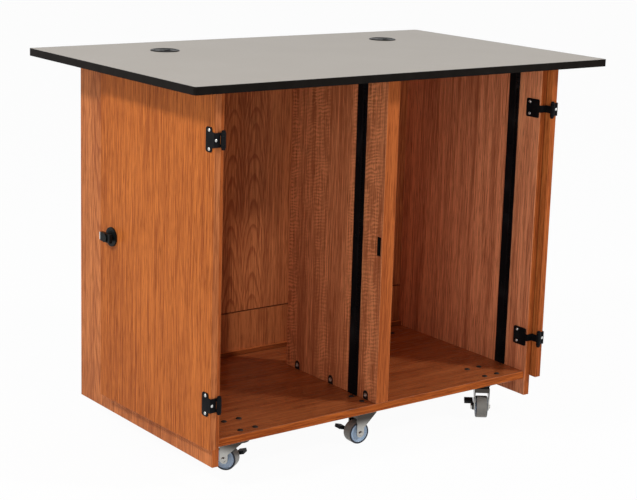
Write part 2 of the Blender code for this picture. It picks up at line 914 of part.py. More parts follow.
def add_caster(label, place, plate_turn, heading, lever_back):
    """A plate caster whose wheel trails towards its heading, with a brake lever on the axle's end."""
    base = guide("caster_base_" + label, place, plate_turn)
    half_length = PLATE_LENGTH / 2
    half_plate = PLATE_WIDTH / 2
    plate = sheet(
        "caster_plate_" + label,
        rounded(rectangle(-half_plate, half_plate, -half_length, half_length), PLATE_CORNER),
        race_top,
        plate_top,
        zinc,
        base,
    )
    race = bar(
        "caster_race_" + label,
        (0.0, 0.0, race_top + PLATE_THICK / 2),
        (0.0, 0.0, race_bottom),
        RACE_TOP,
        zinc,
        base,
        end_radius=RACE_BOTTOM,
        sides=LARGE_ROUND,
    )
    head_top = crown_bottom - RUNNING_GAP
    kingpin = bar(
        "caster_kingpin_" + label,
        (0.0, 0.0, race_bottom + RACE_HEIGHT / 2),
        (0.0, 0.0, head_top - KINGPIN_HEAD_HEIGHT / 2),
        KINGPIN,
        zinc,
        base,
    )
    head = bar(
        "caster_kingpin_head_" + label,
        (0.0, 0.0, head_top),
        (0.0, 0.0, head_top - KINGPIN_HEAD_HEIGHT),
        KINGPIN_HEAD,
        zinc,
        base,
        end_radius=KINGPIN,
    )
    combine(plate, [race, kingpin, head], "UNION")

    swivel = guide("caster_swivel_" + label, place, heading)
    fork = bar(
        "caster_fork_" + label,
        (0.0, 0.0, crown_top),
        (0.0, 0.0, crown_bottom),
        CROWN,
        zinc,
        swivel,
        sides=LARGE_ROUND,
    )
    crown_rear = -BRIDGE_FRONT
    crown_front = TRAIL + LEG_FOOT
    bridge = block(
        "caster_bridge_" + label,
        (crown_rear - FUSED_STEP, -leg_outside + FUSED_STEP, crown_top - FUSED_STEP),
        (crown_front + FUSED_STEP, leg_outside - FUSED_STEP, crown_bottom + FUSED_STEP),
        zinc,
        swivel,
    )
    leg_top = crown_top - 2 * FUSED_STEP
    apron = block(
        "caster_apron_" + label,
        (crown_front - LEG_WALL, -leg_inside - LEG_WALL / 2, crown_top - CROWN_THICK / 2),
        (crown_front - FUSED_STEP, leg_inside + LEG_WALL / 2, crown_top - APRON),
        zinc,
        swivel,
    )
    leg_plan = [
        (crown_rear, leg_top),
        (crown_rear, crown_bottom),
        (TRAIL - LEG_FOOT, axle_height + LEG_WAIST),
    ]
    for step in range(10):
        angle = math.radians(180 + 20 * step)
        leg_plan.append((TRAIL + LEG_FOOT * math.cos(angle), axle_height + LEG_FOOT * math.sin(angle)))
    leg_plan.append((crown_front, leg_top))
    legs = []
    for hand in (-1, 1):
        faces = sorted((hand * leg_inside, hand * leg_outside))
        legs.append(
            sheet(
                "caster_leg_" + label + ("_left" if hand > 0 else "_right"),
                leg_plan,
                faces[0],
                faces[1],
                zinc,
                swivel,
                facing="Y",
            )
        )
    axle = bar(
        "caster_axle_" + label,
        (TRAIL, -axle_end + AXLE_NUT_HEIGHT / 2, axle_height),
        (TRAIL, leg_outside, axle_height),
        AXLE,
        zinc,
        swivel,
        sides=SMALL_ROUND,
    )
    nuts = [
        bar(
            "caster_nut_" + label,
            (TRAIL, -nut_inside, axle_height),
            (TRAIL, -axle_end, axle_height),
            AXLE_NUT,
            zinc,
            swivel,
            sides=6,
        ),
        bar(
            "caster_axle_head_" + label,
            (TRAIL, leg_outside - LEG_WALL / 2, axle_height),
            (TRAIL, leg_outside + AXLE_NUT_HEIGHT, axle_height),
            AXLE_NUT,
            zinc,
            swivel,
            end_radius=AXLE,
            sides=SMALL_ROUND,
        ),
    ]
    combine(fork, [bridge, apron, *legs, axle, *nuts], "UNION")
    kingpin_hole = bar(
        "caster_kingpin_hole_" + label,
        (0.0, 0.0, crown_top + CROWN_THICK),
        (0.0, 0.0, crown_bottom - CROWN_THICK),
        KINGPIN + RUNNING_GAP,
        zinc,
        swivel,
    )
    combine(fork, [kingpin_hole], "DIFFERENCE")

    axle_place = (TRAIL, 0.0, axle_height)
    spin = guide("caster_axle_axis_" + label, axle_place, parent=swivel)
    half_hub = HUB_WIDTH / 2
    half_tread = TREAD_WIDTH / 2
    half_dish = half_tread - DISH
    outer_half = [
        (HUB_BOSS, half_hub),
        (HUB_BOSS + DISH, half_dish),
        (RIM_RADIUS, half_dish),
        (RIM_RADIUS + DISH, half_tread),
        (WHEEL_RADIUS - TREAD_ROUND, half_tread),
        (WHEEL_RADIUS, half_tread - TREAD_ROUND),
    ]
    profile = [(AXLE + RUNNING_GAP, half_hub)]
    profile += outer_half
    profile += [(radius, -across) for radius, across in reversed(outer_half)]
    profile += [(AXLE + RUNNING_GAP, -half_hub)]
    turned("caster_wheel_" + label, profile, wheel_grey, spin, axis="Y")

    brake = guide("brake_axis_" + label, axle_place, parent=swivel)
    tilt = math.pi - LEVER_STOP if lever_back else LEVER_STOP
    brake.rotation_euler = (0.0, tilt, 0.0)
    lever = bar(
        "brake_lever_" + label,
        (0.0, -lever_inside, 0.0),
        (0.0, -lever_outside, 0.0),
        LEVER_BOSS,
        black_plastic,
        brake,
    )
    pedal_end = -PEDAL_START - PEDAL_LENGTH
    pedal_plan = [
        (0.0, -lever_inside - FUSED_STEP),
        (pedal_end, -lever_inside - FUSED_STEP),
        (pedal_end, -lever_inside - PEDAL_REACH),
        (-PEDAL_START, -lever_inside - PEDAL_REACH),
        (-PEDAL_START, -lever_outside + FUSED_STEP),
        (0.0, -lever_outside + FUSED_STEP),
    ]
    pedal = sheet(
        "brake_pedal_" + label,
        pedal_plan,
        -PEDAL_THICK / 2,
        PEDAL_THICK / 2,
        black_plastic,
        brake,
    )
    combine(lever, [pedal], "UNION")
    eye = bar(
        "brake_eye_" + label,
        (0.0, 0.0, 0.0),
        (0.0, -2 * lever_outside, 0.0),
        AXLE + RUNNING_GAP,
        black_plastic,
        brake,
        sides=SMALL_ROUND,
    )
    combine(lever, [eye], "DIFFERENCE")


caster_x = inner_x - CASTER_SIDE
caster_front_y = front_y + CASTER_FRONT
caster_rear_y = rear_y - CASTER_REAR
quarter = math.radians(90)
add_caster("front_left", (-caster_x, caster_front_y, CASTER_HEIGHT), 0.0, math.radians(125.0), False)
add_caster("front_centre", (0.0, caster_front_y, CASTER_HEIGHT), quarter, math.radians(176.5), True)
add_caster("front_right", (caster_x, caster_front_y, CASTER_HEIGHT), 0.0, math.radians(232.3), False)
add_caster("rear_left", (-caster_x, caster_rear_y, CASTER_HEIGHT), 0.0, math.radians(155), False)
add_caster("rear_centre", (0.0, caster_rear_y, CASTER_HEIGHT), quarter, math.radians(180), False)
add_caster("rear_right", (caster_x, caster_rear_y, CASTER_HEIGHT), 0.0, math.radians(205), False)
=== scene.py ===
import json
import math

import bmesh
import bpy
from mathutils import Matrix, Vector


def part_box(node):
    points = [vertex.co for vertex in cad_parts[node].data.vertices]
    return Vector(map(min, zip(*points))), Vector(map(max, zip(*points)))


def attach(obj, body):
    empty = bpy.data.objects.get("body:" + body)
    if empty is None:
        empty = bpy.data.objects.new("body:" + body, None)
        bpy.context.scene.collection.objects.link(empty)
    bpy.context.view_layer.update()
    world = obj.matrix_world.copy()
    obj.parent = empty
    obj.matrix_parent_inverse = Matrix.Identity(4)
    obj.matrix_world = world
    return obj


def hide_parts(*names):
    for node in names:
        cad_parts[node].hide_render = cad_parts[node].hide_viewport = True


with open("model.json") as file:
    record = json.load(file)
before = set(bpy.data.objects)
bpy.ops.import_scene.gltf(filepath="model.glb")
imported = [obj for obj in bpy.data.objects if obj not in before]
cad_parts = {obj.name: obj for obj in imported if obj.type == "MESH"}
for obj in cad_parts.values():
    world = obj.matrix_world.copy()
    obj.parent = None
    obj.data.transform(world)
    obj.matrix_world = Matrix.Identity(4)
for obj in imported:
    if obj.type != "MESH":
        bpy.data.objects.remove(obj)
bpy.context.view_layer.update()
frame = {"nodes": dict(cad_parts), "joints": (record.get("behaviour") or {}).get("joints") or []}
nodes = frame["nodes"]

# Floor board and side panels: 19 mm veneered boards, stained red oak under a satin lacquer,
# cut square, edge-banded in the same veneer and joined at the foot with the floor board let in between.
# The grain runs up the sides and along the floor.


def put(tree, kind, values=None, **settings):
    """A shader node with its settings, and its inputs set or linked."""
    made = tree.nodes.new(kind)
    for key, value in settings.items():
        setattr(made, key, value)
    for key, value in (values or {}).items():
        if isinstance(value, bpy.types.NodeSocket):
            tree.links.new(value, made.inputs[key])
        else:
            made.inputs[key].default_value = value
    return made


def new_group(name, inputs, outputs):
    """An empty shader node group with named sockets, and its two ends."""
    tree = bpy.data.node_groups.new(name, "ShaderNodeTree")
    for label, kind, start in inputs:
        socket = tree.interface.new_socket(label, in_out="INPUT", socket_type=kind)
        if start is not None:
            socket.default_value = start
    for label, kind in outputs:
        tree.interface.new_socket(label, in_out="OUTPUT", socket_type=kind)
    return tree, tree.nodes.new("NodeGroupInput").outputs, tree.nodes.new("NodeGroupOutput").inputs


def scaled(tree, vector, factors):
    """A vector stretched along each axis."""
    return put(tree, "ShaderNodeVectorMath", {0: vector, 1: factors}, operation="MULTIPLY").outputs[0]


def maths(tree, operation, first, second=0.0, third=0.0, clamp=False):
    """One step of arithmetic."""
    made = put(tree, "ShaderNodeMath", {0: first, 1: second, 2: third}, operation=operation)
    made.use_clamp = clamp
    return made.outputs[0]


def noise(tree, vector, scale, detail=2.0, rough=0.5):
    """Smooth noise between 0 and 1."""
    values = {"Vector": vector, "Scale": scale, "Detail": detail, "Roughness": rough}
    return put(tree, "ShaderNodeTexNoise", values).outputs["Fac"]


def ramp(tree, value, low, high):
    """A value spread from 0 at low to 1 at high, held at both ends."""
    values = {"Value": value, "From Min": low, "From Max": high}
    return put(tree, "ShaderNodeMapRange", values, interpolation_type="SMOOTHSTEP").outputs[0]


def mixed(tree, share, first, second, blend="MIX"):
    """Two colours mixed."""
    made = put(tree, "ShaderNodeMix", data_type="RGBA", blend_type=blend)
    for key, value in ((0, share), (6, first), (7, second)):
        if isinstance(value, bpy.types.NodeSocket):
            tree.links.new(value, made.inputs[key])
        else:
            made.inputs[key].default_value = value
    return made.outputs[2]


oak_veneer, given, result = new_group(
    "oak_veneer",
    [
        ("Vector", "NodeSocketVector", None),
        ("Light", "NodeSocketColor", (0.60, 0.170, 0.030, 1.0)),
        ("Dark", "NodeSocketColor", (0.30, 0.066, 0.011, 1.0)),
        ("Streaks", "NodeSocketFloat", 1.0),
        ("Bands", "NodeSocketFloat", 0.9),
        ("Arches", "NodeSocketFloat", 0.0),
        ("Arch Width", "NodeSocketFloat", 0.074),
        ("Arch Rise", "NodeSocketFloat", 125.0),
        ("Arch Pitch", "NodeSocketFloat", 0.068),
        ("Arch Edge", "NodeSocketFloat", 10.0),
        ("Arch Reach", "NodeSocketFloat", 20.0),
        ("Fleck", "NodeSocketFloat", 0.0),
    ],
    [("Colour", "NodeSocketColor"), ("Roughness", "NodeSocketFloat"), ("Height", "NodeSocketFloat")],
)
sway = put(
    oak_veneer,
    "ShaderNodeTexNoise",
    {"Vector": scaled(oak_veneer, given["Vector"], (1, 1, 0.25)), "Scale": 7.0, "Detail": 2.0},
).outputs["Color"]
swayed = put(
    oak_veneer,
    "ShaderNodeVectorMath",
    {0: sway, 1: (0.014, 0.014, 0.0), 2: given["Vector"]},
    operation="MULTIPLY_ADD",
).outputs[0]
# Long streaks of the growth rings, fine and broad
coarse = noise(oak_veneer, scaled(oak_veneer, swayed, (1, 1, 0.010)), 290.0, 3.0, 0.65)
fine = noise(oak_veneer, scaled(oak_veneer, swayed, (1, 1, 0.016)), 720.0, 2.0, 0.6)
band = noise(oak_veneer, scaled(oak_veneer, swayed, (1, 1, 0.045)), 34.0, 2.0)
broad = noise(oak_veneer, scaled(oak_veneer, given["Vector"], (1, 1, 0.35)), 4.5, 2.0)
# Nested arches of crown-cut veneer, leaves matched side by side
split = put(oak_veneer, "ShaderNodeSeparateXYZ", {"Vector": swayed}).outputs
across = maths(oak_veneer, "ADD", split["X"], split["Y"])
leaf = maths(oak_veneer, "PINGPONG", across, given["Arch Width"])
middle = maths(oak_veneer, "MULTIPLY_ADD", given["Arch Width"], -0.5, leaf)
bow = maths(oak_veneer, "MULTIPLY", maths(oak_veneer, "MULTIPLY", middle, middle), given["Arch Rise"])
climb = maths(oak_veneer, "ADD", split["Z"], bow)
uneven = noise(oak_veneer, scaled(oak_veneer, given["Vector"], (0.3, 0.3, 1)), 11.0, 1.0)
unevenness = 0.085
climb = maths(oak_veneer, "MULTIPLY_ADD", uneven, unevenness, climb)
turn = maths(oak_veneer, "FRACT", maths(oak_veneer, "DIVIDE", climb, given["Arch Pitch"]))
darkest = 0.86
late = ramp(oak_veneer, turn, 0.50, darkest)
late = maths(oak_veneer, "SUBTRACT", late, ramp(oak_veneer, turn, darkest, 1.0))
arch_fade = 0.02
far_side = maths(oak_veneer, "ADD", given["Arch Edge"], arch_fade)
near_side = maths(oak_veneer, "SUBTRACT", given["Arch Edge"], arch_fade)
late = maths(oak_veneer, "MULTIPLY", late, ramp(oak_veneer, across, far_side, near_side))
far_side = maths(oak_veneer, "SUBTRACT", far_side, given["Arch Reach"])
near_side = maths(oak_veneer, "SUBTRACT", near_side, given["Arch Reach"])
late = maths(oak_veneer, "MULTIPLY", late, ramp(oak_veneer, across, near_side, far_side))
arched = maths(oak_veneer, "MULTIPLY", late, given["Arches"])
# Ripples of ray fleck, crowded into upright bands
ripple_lean = 0.25
ripple_rate = 640.0
ripple_bend = 17.0
slant = maths(oak_veneer, "MULTIPLY_ADD", across, ripple_lean, split["Z"])
bend = noise(oak_veneer, scaled(oak_veneer, given["Vector"], (22, 22, 30)), 1.0, 2.0)
phase = maths(oak_veneer, "MULTIPLY", bend, ripple_bend)
phase = maths(oak_veneer, "MULTIPLY_ADD", slant, ripple_rate, phase)
ripple = maths(oak_veneer, "MULTIPLY_ADD", maths(oak_veneer, "SINE", phase), 0.5, 0.5)
patch = noise(oak_veneer, scaled(oak_veneer, swayed, (40, 40, 26)), 1.0, 2.0)
ripple = maths(oak_veneer, "MULTIPLY", ripple, ramp(oak_veneer, patch, 0.30, 0.62))
crowd = noise(oak_veneer, scaled(oak_veneer, swayed, (12, 12, 0.5)), 1.0, 1.0)
crowd = ramp(oak_veneer, crowd, 0.36, 0.58)
fleck = maths(oak_veneer, "MULTIPLY", maths(oak_veneer, "MULTIPLY", ripple, crowd), given["Fleck"])
# Open pores, short dashes along the grain
pores = noise(oak_veneer, scaled(oak_veneer, swayed, (1, 1, 0.040)), 520.0, 2.0)
pores = ramp(oak_veneer, pores, 0.54, 0.66)
# All of it added up into one shade between the light and the dark stain
streak_weight = 3.0
band_weight = 2.0
broad_weight = 0.75
arch_weight = 0.9
fleck_ground = 0.35
fleck_weight = -1.1
pore_weight = 0.55
shade = maths(oak_veneer, "MULTIPLY_ADD", coarse, streak_weight, -streak_weight / 2)
shade = maths(oak_veneer, "SUBTRACT", shade, streak_weight / 2)
shade = maths(oak_veneer, "MULTIPLY_ADD", fine, streak_weight, shade)
shade = maths(oak_veneer, "MULTIPLY", shade, given["Streaks"])
banded = maths(oak_veneer, "MULTIPLY", maths(oak_veneer, "SUBTRACT", band, 0.5), given["Bands"])
shade = maths(oak_veneer, "MULTIPLY_ADD", banded, band_weight, shade)
shade = maths(oak_veneer, "MULTIPLY_ADD", broad, broad_weight, shade)
shade = maths(oak_veneer, "MULTIPLY_ADD", arched, arch_weight, shade)
shade = maths(oak_veneer, "MULTIPLY_ADD", given["Fleck"], fleck_ground, shade)
shade = maths(oak_veneer, "MULTIPLY_ADD", fleck, fleck_weight, shade)
shade = maths(oak_veneer, "ADD", shade, 0.02, clamp=True)
stain = mixed(oak_veneer, shade, given["Light"], given["Dark"])
pored = maths(oak_veneer, "MULTIPLY", pores, pore_weight)
pore_stain = mixed(oak_veneer, 1.0, given["Dark"], (0.50, 0.46, 0.44, 1.0), "MULTIPLY")
oak_veneer.links.new(mixed(oak_veneer, pored, stain, pore_stain), result["Colour"])
oak_veneer.links.new(maths(oak_veneer, "MULTIPLY_ADD", pored, 0.30, 0.40), result["Roughness"])
height = maths(oak_veneer, "SUBTRACT", maths(oak_veneer, "MULTIPLY", coarse, 0.3), pored)
oak_veneer.links.new(height, result["Height"])


def new_material(name):
    """A material with its Principled shader."""
    material = bpy.data.materials.new(name)
    material.use_nodes = True
    return material, material.node_tree, material.node_tree.nodes["Principled BSDF"]


def bumped(tree, shader, height, strength, depth):
    """Relief on a shader's surface."""
    relief = put(tree, "ShaderNodeBump", {"Height": height, "Strength": strength, "Distance": depth})
    tree.links.new(relief.outputs[0], shader.inputs["Normal"])


def oak(name, turn=(0, 0, 0), shift=(0, 0, 0), tint=(1.0, 1.0, 1.0), polish=0.0, **figure):
    """Stained oak, its grain along Z once turned, with a tint on its stain and its own figure."""
    material, tree, shader = new_material(name)
    place = put(tree, "ShaderNodeTexCoord").outputs["Object"]
    values = {"Vector": place, "Location": shift, "Rotation": [math.radians(angle) for angle in turn]}
    laid = put(tree, "ShaderNodeMapping", values).outputs[0]
    veneer = put(tree, "ShaderNodeGroup", node_tree=oak_veneer)
    tree.links.new(laid, veneer.inputs["Vector"])
    for label in ("Light", "Dark"):
        stain = veneer.inputs[label].default_value
        veneer.inputs[label].default_value = (*[part * share for part, share in zip(stain, tint)], 1.0)
    for label, value in figure.items():
        veneer.inputs[label.replace("_", " ").title()].default_value = value
    tree.links.new(veneer.outputs["Colour"], shader.inputs["Base Color"])
    roughness = maths(tree, "SUBTRACT", veneer.outputs["Roughness"], polish)
    tree.links.new(roughness, shader.inputs["Roughness"])
    satin_shine = 0.06
    shader.inputs["Specular IOR Level"].default_value = satin_shine + polish
    bumped(tree, shader, veneer.outputs["Height"], 0.25, 0.0004)
    return material


def finish_node(name, material, lipping=None):
    """A CAD piece in its finish, with its front edge in another where one is given."""
    thing = nodes[name]
    thing.data.materials.clear()
    thing.data.materials.append(material)
    if lipping:
        thing.data.materials.append(lipping)
        for face in thing.data.polygons:
            face.material_index = 1 if face.normal.y < -0.9 else 0
    return thing


left_oak = oak(
    "oak_left_side",
    shift=(0.0, 0.024, 0.0),
    tint=(1.08, 1.28, 2.3),
    bands=0.6,
    arches=0.55,
    arch_width=0.07,
    arch_rise=-95.0,
    arch_pitch=0.1,
    arch_edge=-0.2,
    arch_reach=0.075,
)
# The right side's inside faces are tinted far lighter and paler than its outside: partly the board's own
# tone, partly painted light
right_inside_painted_light = oak("oak_right_inside_painted_light", shift=(0.45, -0.18, -0.62), tint=(1.52, 2.15, 5.8), bands=1.3)
lengthwise = (0, 90, 0)
floor_oak = oak(
    "oak_floor", turn=lengthwise, shift=(0.3, 0.2, 0.1), tint=(0.92, 0.97, 1.7), polish=0.24, streaks=0.7
)
lipping_oak = oak("oak_lipping", shift=(0.2, 0.7, 0.1), tint=(0.94, 0.87, 1.15), streaks=0.8, bands=0.5)
floor_lipping = oak("oak_floor_lipping", turn=lengthwise, shift=(0.6, 0.1, 0.5), tint=(0.92, 0.80, 0.75))
finish_node("left_side_panel", left_oak, lipping_oak)
right_side = finish_node("right_side_panel", right_inside_painted_light, lipping_oak)
# The outside face keeps a plain tint; the lighter inside tint is partly painted light
outside_oak = oak("oak_right_outside", shift=(0.2, 0.4, 0.7), tint=(1.06, 1.15, 1.6), bands=0.6)
right_side.data.materials.append(outside_oak)
for face in right_side.data.polygons:
    if face.normal.x > 0.9:
        face.material_index = 2
finish_node("floor_panel", floor_oak, floor_lipping)

# Back: two oak boards, a tall upper panel over a lower rail with a shadow gap between them,
# and a square cleat glued and pinned along the rail's foot.
# The panel shows the arched figure of crown-cut veneer.
back_oak = oak(
    "oak_back", shift=(0.0275, 0.0, 0.0), tint=(1.08, 1.25, 2.4), bands=0.6, arches=0.75, arch_edge=0.30
)
finish_node("rear_upper_panel", back_oak)
rail_oak = oak("oak_back_rail", shift=(0.5, 0.3, 0.2), tint=(0.92, 1.02, 1.9), bands=1.4)
finish_node("rear_lower_rail", rail_oak)
# One oak in two tints: the cleat's top face painted lighter as lit, its other faces painted darker as
# shade
cleat_painted_shade = oak("oak_cleat", turn=lengthwise, shift=(0.1, 0.6, 0.4), tint=(0.50, 0.44, 0.6))
cleat_top_painted_light = oak("oak_cleat_top_painted_light", turn=lengthwise, shift=(0.7, 0.2, 0.4), tint=(1.6, 1.9, 3.0))
cleat = finish_node("rear_cleat", cleat_painted_shade)
cleat.data.materials.append(cleat_top_painted_light)
for face in cleat.data.polygons:
    face.material_index = 1 if face.normal.z > 0.9 else 0

# Partition: a 40 mm oak-faced core that stands between the bays, stopped short of the back for cables.
# A strike slot in each face takes the door's bolt; a near-black lining in each slot is painted shade.
# The partition's stain is tinted lighter and paler than other boards: partly the board's own tone, partly
# painted light
partition_painted_light = oak("oak_partition_painted_light", shift=(0.62, 0.11, 0.3), tint=(1.48, 2.02, 4.8), fleck=1.0, bands=0.7)
finish_node("centre_partition", partition_painted_light, lipping_oak)


def textured(name, colour, roughness, grain, shine=0.1):
    """Moulded plastic or blackened steel with a fine texture in its surface."""
    material, tree, shader = new_material(name)
    place = put(tree, "ShaderNodeTexCoord").outputs["Object"]
    fine = noise(tree, place, grain, 3.0, 0.6)
    broad = noise(tree, place, 35.0, 2.0)
    lit = [channel * 1.7 + 0.004 for channel in colour]
    tree.links.new(mixed(tree, broad, (*colour, 1.0), (*lit, 1.0)), shader.inputs["Base Color"])
    spread = 0.22
    uneven = maths(tree, "MULTIPLY_ADD", fine, spread, roughness - spread / 2)
    tree.links.new(uneven, shader.inputs["Roughness"])
    shader.inputs["Specular IOR Level"].default_value = shine
    bumped(tree, shader, fine, 0.2, 0.0002)
    return material


def shown(name, form, material):
    """A mesh piece in the scene, round where its faces meet gently."""
    crease = math.radians(40)
    form.normal_update()
    bmesh.ops.recalc_face_normals(form, faces=form.faces)
    mesh = bpy.data.meshes.new(name)
    form.to_mesh(mesh)
    form.free()
    mesh.shade_smooth()
    mesh.set_sharp_from_angle(angle=crease)
    mesh.materials.append(material)
    thing = bpy.data.objects.new(name, mesh)
    bpy.context.scene.collection.objects.link(thing)
    return thing


# Near-black lining sheet: painted shade inside the strike slots
strike_painted_shade = textured("strike_painted_shade", (0.004, 0.004, 0.004), 0.6, 1500.0)
strike_low_y, strike_high_y = -0.2937, -0.2793
strike_low_z, strike_high_z = 0.5143, 0.5637
strike_wall = 0.0004
strike_mouth = 0.0199
strike_floor = 0.0038
for label, side in (("left", -1), ("right", 1)):
    form = bmesh.new()
    corners = []
    for inset in (0.0, strike_wall):
        for depth in (strike_mouth, strike_floor + inset):
            for y, z in ((-1, -1), (1, -1), (1, 1), (-1, 1)):
                across = (strike_low_y + inset) if y < 0 else (strike_high_y - inset)
                upward = (strike_low_z + inset) if z < 0 else (strike_high_z - inset)
                corners.append(form.verts.new((side * depth, across, upward)))
    for step in range(4):
        after = (step + 1) % 4
        form.faces.new([corners[i] for i in (step, after, 4 + after, 4 + step)])
        form.faces.new([corners[i] for i in (8 + step, 12 + step, 12 + after, 8 + after)])
        form.faces.new([corners[i] for i in (step, 8 + step, 8 + after, after)])
    form.faces.new([corners[i] for i in (4, 5, 6, 7)])
    form.faces.new([corners[i] for i in (12, 13, 14, 15)])
    lining = shown("strike_lining_" + label, form, strike_painted_shade)
    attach(lining, "cabinet")

# Loose tongue: a thin strip of oak tinted near black as painted shade in the gap, its long edges eased.
# It lies loose in the gap between the two boards of the back and closes it.
# Near-black tint: painted shade in the gap between the back's boards
tongue_painted_shade = oak("oak_tongue_painted_shade", turn=lengthwise, shift=(0.4, 0.2, 0.3), tint=(0.16, 0.14, 0.16))
low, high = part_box("rear_upper_panel")
tongue_play = 0.0001
tongue_thick = 0.004
tongue_short = 0.002
tongue_ease = 0.0003
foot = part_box("rear_lower_rail")[1].z + tongue_play
head = low.z - tongue_play
form = bmesh.new()
size = Matrix.Diagonal((high.x - low.x - tongue_short, tongue_thick, head - foot, 1.0))
place = Matrix.Translation(((low.x + high.x) / 2, (low.y + high.y) / 2, (foot + head) / 2))
bmesh.ops.create_cube(form, size=1.0, matrix=place @ size)
long_edges = [edge for edge in form.edges if abs(edge.verts[0].co.x - edge.verts[1].co.x) > 0.1]
bmesh.ops.bevel(form, geom=long_edges, offset=tongue_ease, segments=2, affect="EDGES")
tongue = shown("back_tongue", form, tongue_painted_shade)
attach(tongue, "cabinet")

# Knock-down connectors: half-round black plastic housings let into the partition's foot,
# each drawn down on a pin in the floor by a bright cross-head cam screw.
connector_plastic = textured("connector_plastic", (0.012, 0.011, 0.010), 0.5, 2500.0)
for label in ("front", "middle", "rear"):
    finish_node("connector_" + label, connector_plastic)


def bright_metal(name, colour, low, high, scale):
    """Plated metal, slightly clouded."""
    material, tree, shader = new_material(name)
    place = put(tree, "ShaderNodeTexCoord").outputs["Object"]
    cloud = noise(tree, place, scale, 4.0, 0.6)
    worn = [channel * 0.72 for channel in colour]
    tree.links.new(mixed(tree, cloud, (*colour, 1.0), (*worn, 1.0)), shader.inputs["Base Color"])
    tree.links.new(maths(tree, "MULTIPLY_ADD", cloud, high - low, low), shader.inputs["Roughness"])
    shader.inputs["Metallic"].default_value = 1.0
    return material


screw_steel = bright_metal("screw_steel", (0.72, 0.72, 0.70), 0.18, 0.42, 260.0)


def lathe(form, profile, matrix, sides):
    """A profile of radius and height turned about an axis into a closed form."""
    rows = []
    for radius, height in profile:
        if radius < 1e-6:
            rows.append([form.verts.new(matrix @ Vector((0, 0, height)))])
            continue
        row = []
        for step in range(sides):
            angle = 2 * math.pi * step / sides
            point = Vector((radius * math.cos(angle), radius * math.sin(angle), height))
            row.append(form.verts.new(matrix @ point))
        rows.append(row)
    closed = len(rows[0]) > 1
    for index in range(len(rows) if closed else len(rows) - 1):
        first = rows[index]
        second = rows[(index + 1) % len(rows)]
        for step in range(sides):
            after = (step + 1) % sides
            ring = [first[step % len(first)], first[after % len(first)]]
            ring += [second[after % len(second)], second[step % len(second)]]
            form.faces.new(list(dict.fromkeys(ring)))


def aimed(place, direction, roll=0.0):
    """A frame at a place with its Z along a direction."""
    turn = Vector(direction).to_track_quat("Z", "Y").to_matrix().to_4x4()
    return Matrix.Translation(place) @ turn @ Matrix.Rotation(roll, 4, "Z")


def evaluated(thing):
    """An object's mesh with its modifiers worked in, and the object gone."""
    bpy.context.view_layer.update()
    mesh = bpy.data.meshes.new_from_object(thing.evaluated_get(bpy.context.evaluated_depsgraph_get()))
    bpy.data.objects.remove(thing)
    return mesh


def cross_head(radius, height):
    """A pan-head screw with a cross recess, its seat at Z = 0."""
    form = bmesh.new()
    profile = [(0.0, height), (radius * 0.55, height * 0.93), (radius * 0.85, height * 0.62)]
    profile += [(radius, height * 0.2), (radius, 0.0), (0.0, 0.0)]
    lathe(form, profile, Matrix.Identity(4), 20)
    head = shown("head_blank", form, screw_steel)
    cutters = []
    for quarter in (0, 1):
        form = bmesh.new()
        size = Matrix.Diagonal((radius * 1.15, radius * 0.26, height * 1.1, 1.0))
        bmesh.ops.create_cube(form, size=1.0, matrix=Matrix.Translation((0, 0, height)) @ size)
        bmesh.ops.rotate(form, verts=form.verts, matrix=Matrix.Rotation(quarter * math.pi / 2, 3, "Z"))
        cutter = shown("head_cross", form, screw_steel)
        cut = head.modifiers.new("cross", "BOOLEAN")
        cut.operation = "DIFFERENCE"
        cut.object = cutter
        cutters.append(cutter)
    mesh = evaluated(head)
    for cutter in cutters:
        bpy.data.objects.remove(cutter)
    return mesh


def copies(name, mesh, matrices, material, body):
    """One piece that holds a copy of a mesh at each place."""
    form = bmesh.new()
    for matrix in matrices:
        single = bmesh.new()
        single.from_mesh(mesh)
        bmesh.ops.transform(single, matrix=matrix, verts=single.verts)
        moved = bpy.data.meshes.new("moved")
        single.to_mesh(moved)
        single.free()
        form.from_mesh(moved)
        bpy.data.meshes.remove(moved)
    thing = shown(name, form, material)
    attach(thing, body)


cam_height = 0.0115
cam_head = cross_head(0.0058, 0.0012)
connector_screws = []
for label in ("front", "middle", "rear"):
    low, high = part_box("connector_" + label)
    middle = Vector((low.x, (low.y + high.y) / 2, low.z + cam_height))
    connector_screws.append(aimed(middle, (-1, 0, 0), math.radians(30)))
copies("connector_screws", cam_head, connector_screws, screw_steel, "cabinet")


# Rack rails: rolled steel angles in black powder coat, up both walls of each bay,
# tapped three times in every rack unit and held to the walls with pan-head screws.
def black_coat(name):
    """Black powder coat on steel."""
    material, tree, shader = new_material(name)
    place = put(tree, "ShaderNodeTexCoord").outputs["Object"]
    peel = noise(tree, place, 900.0, 2.0)
    dust = ramp(tree, noise(tree, place, 14.0, 3.0), 0.45, 0.8)
    colour = mixed(tree, dust, (0.006, 0.006, 0.007, 1.0), (0.016, 0.016, 0.017, 1.0))
    tree.links.new(colour, shader.inputs["Base Color"])
    tree.links.new(maths(tree, "MULTIPLY_ADD", peel, 0.16, 0.30), shader.inputs["Roughness"])
    shader.inputs["Specular IOR Level"].default_value = 0.03
    bumped(tree, shader, peel, 0.15, 0.0002)
    return material


rail_coat = black_coat("rail_coat")


